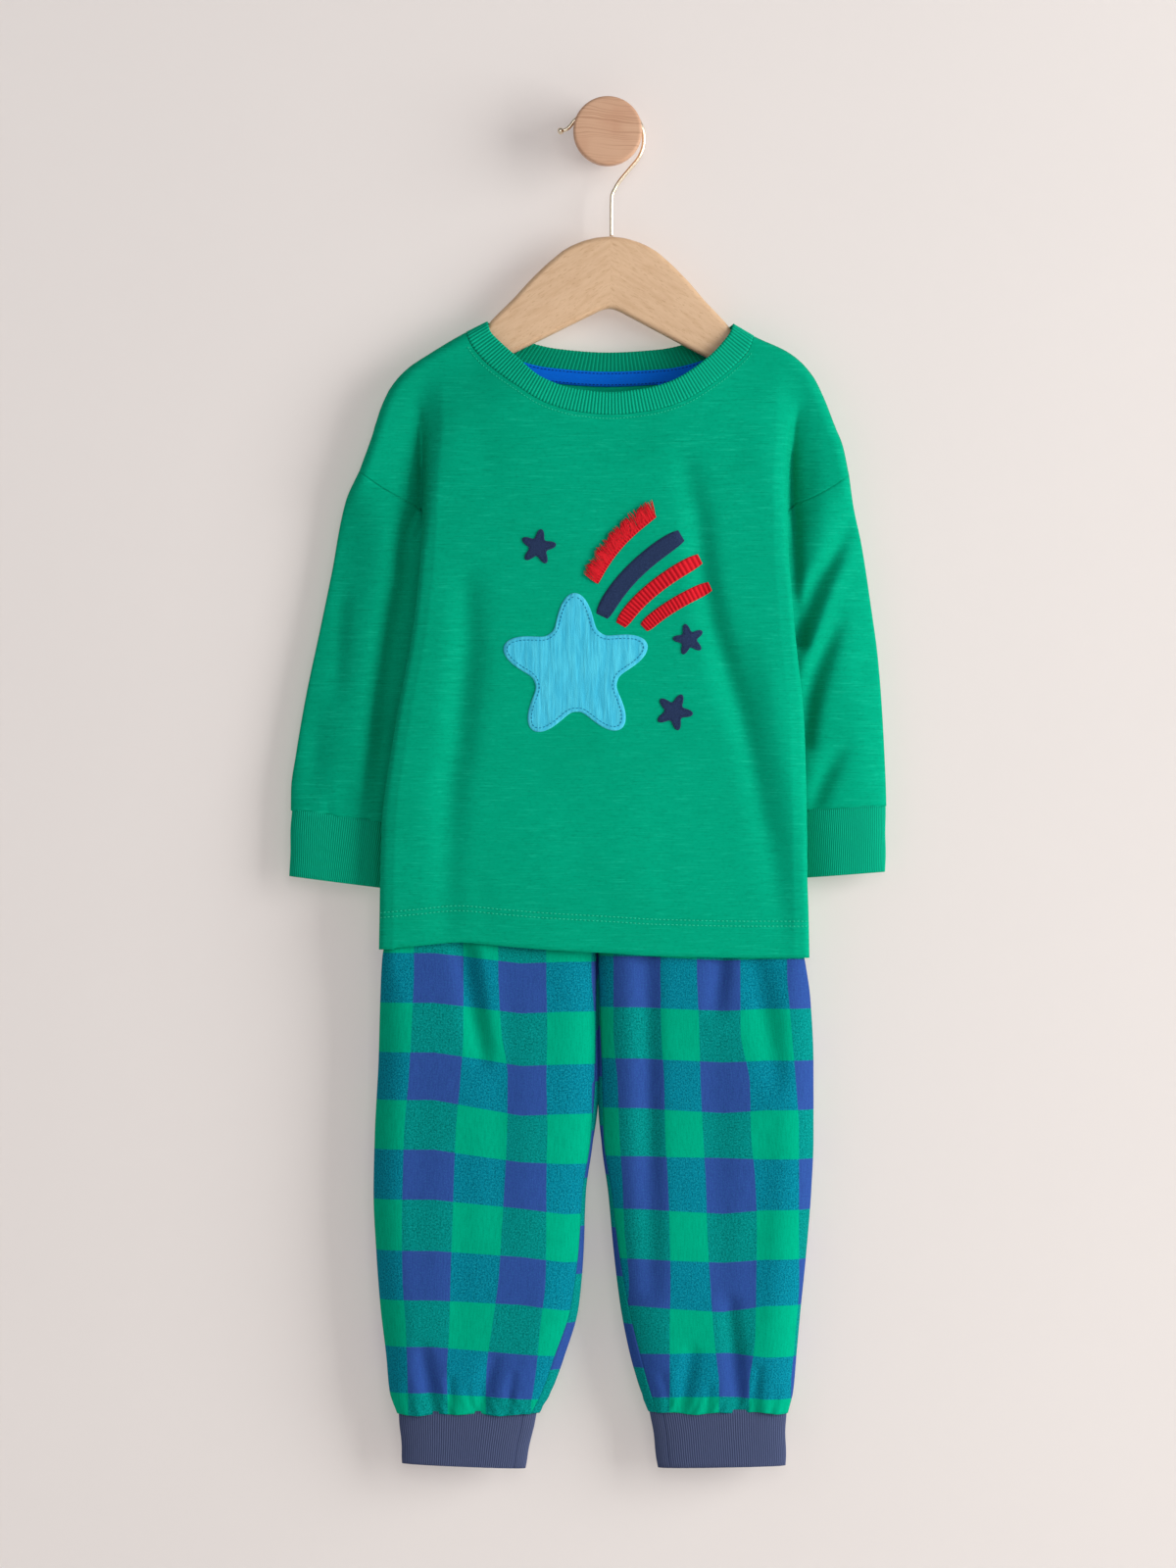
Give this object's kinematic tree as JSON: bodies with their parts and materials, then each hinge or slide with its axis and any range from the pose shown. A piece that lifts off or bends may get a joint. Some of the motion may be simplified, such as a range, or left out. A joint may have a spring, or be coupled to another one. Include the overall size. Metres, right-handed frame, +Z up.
{
  "type": "pyjama set on a hanger and wall peg",
  "caption": "Child's long-sleeved jersey top with a shooting star sewn on, over check flannel trousers, on a wooden hanger hooked on a round wall peg.",
  "frame": {"origin": "centre of the wall peg's flat back face, in the plane of the wall", "axes": "+Z up, +Y into the wall, +X to the right for someone facing the set; the set hangs on the -Y side of the wall"},
  "size_m": [0.4157, 0.0477, 0.9509],
  "materials": {
    "jersey": "matt slub jersey",
    "green_rib": "matt ribbed knit",
    "neck_tape": "woven tape",
    "gauze": "crinkled cotton gauze",
    "red_trim": "matt ribbed trim and loose fringe",
    "navy_felt": "felt",
    "check_flannel": "brushed check flannel",
    "navy_rib": "matt ribbed knit",
    "beech": "satin varnished beech",
    "pine": "satin softwood",
    "wire": "polished pale brass"
  },
  "bodies": {
    "root": {"top_front": "jersey", "top_back": "jersey", "sleeve_left": "jersey", "sleeve_right": "jersey", "cuff_left": "green_rib", "cuff_right": "green_rib", "neckband": "green_rib", "neck_tape": "neck_tape", "size_tab": "neck_tape", "star_patch": "gauze", "tail_fringe": "red_trim", "tail_felt": "navy_felt", "tail_rib_upper": "red_trim", "tail_rib_lower": "red_trim", "small_star_1": "navy_felt", "small_star_2": "navy_felt", "small_star_3": "navy_felt", "leg_front_left": "check_flannel", "leg_front_right": "check_flannel", "leg_back_left": "check_flannel", "leg_back_right": "check_flannel", "waistband": "check_flannel", "ankle_left": "navy_rib", "ankle_right": "navy_rib", "hanger": "beech", "hook": "wire", "knob": "pine"}
  },
  "joints": []
}
